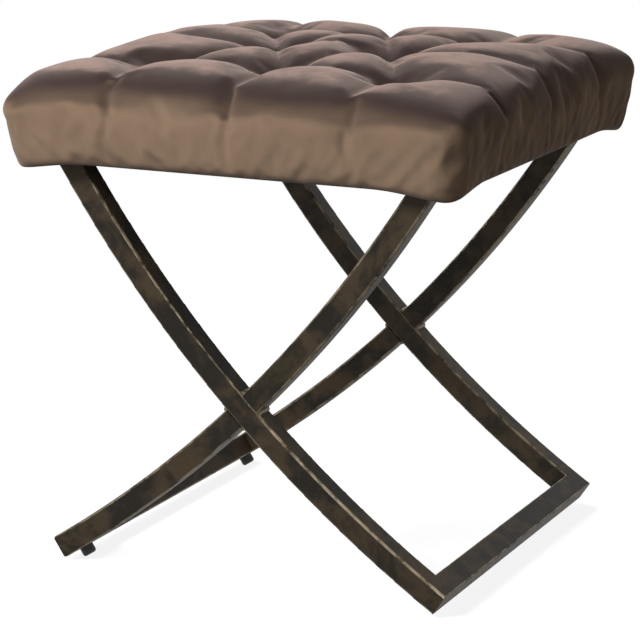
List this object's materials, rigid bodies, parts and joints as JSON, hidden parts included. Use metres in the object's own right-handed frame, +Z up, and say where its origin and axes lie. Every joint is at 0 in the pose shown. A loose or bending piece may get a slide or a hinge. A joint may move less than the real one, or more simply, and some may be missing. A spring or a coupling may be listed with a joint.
{
  "type": "x frame stool",
  "caption": "Upholstered stool: a square, button-tufted velvet cushion on crossed X frames of curved square steel tube, joined at the floor by foot rails.",
  "frame": {"origin": "on the floor, under the middle of the seat", "axes": "+Z up, +X to the right of somebody who faces the front X frame, +Y from the front X frame to the rear one"},
  "size_m": [0.5062, 0.5242, 0.5355],
  "materials": {
    "bronze_steel": "dark antiqued bronze, satin, mottled, worn lighter along the edges",
    "zinc_steel": "bright zinc plate",
    "black_rubber": "matt black",
    "plywood": "raw birch plywood",
    "foam": "open cell polyurethane foam",
    "polyester_fibre": "soft white fibre",
    "taupe_velvet": "short pile velvet with a soft sheen",
    "waxed_cord": "waxed thread",
    "white_plastic": "moulded, matt",
    "black_cloth": "matt black non-woven cloth"
  },
  "bodies": {
    "root": {"front_long_leg": "bronze_steel", "rear_long_leg": "bronze_steel", "front_lower_leg": "bronze_steel", "front_upper_leg": "bronze_steel", "rear_lower_leg": "bronze_steel", "rear_upper_leg": "bronze_steel", "right_foot_rail": "bronze_steel", "left_foot_rail": "bronze_steel", "right_seat_strip": "bronze_steel", "left_seat_strip": "bronze_steel", "crossing_welds": "bronze_steel", "front_right_glide": "black_rubber", "front_left_glide": "black_rubber", "rear_right_glide": "black_rubber", "rear_left_glide": "black_rubber", "glide_washers": "zinc_steel", "glide_screws": "zinc_steel", "seat_screws": "zinc_steel", "seat_washers": "zinc_steel", "tee_nuts": "zinc_steel", "seat_board": "plywood", "foam_pad": "foam", "fibre_wrap": "polyester_fibre", "velvet_cover": "taupe_velvet", "tuft_buttons": "taupe_velvet", "tufting_cords": "waxed_cord", "cord_anchors": "white_plastic", "dust_cover": "black_cloth", "cover_staples": "zinc_steel", "dust_cover_staples": "zinc_steel"}
  },
  "joints": []
}
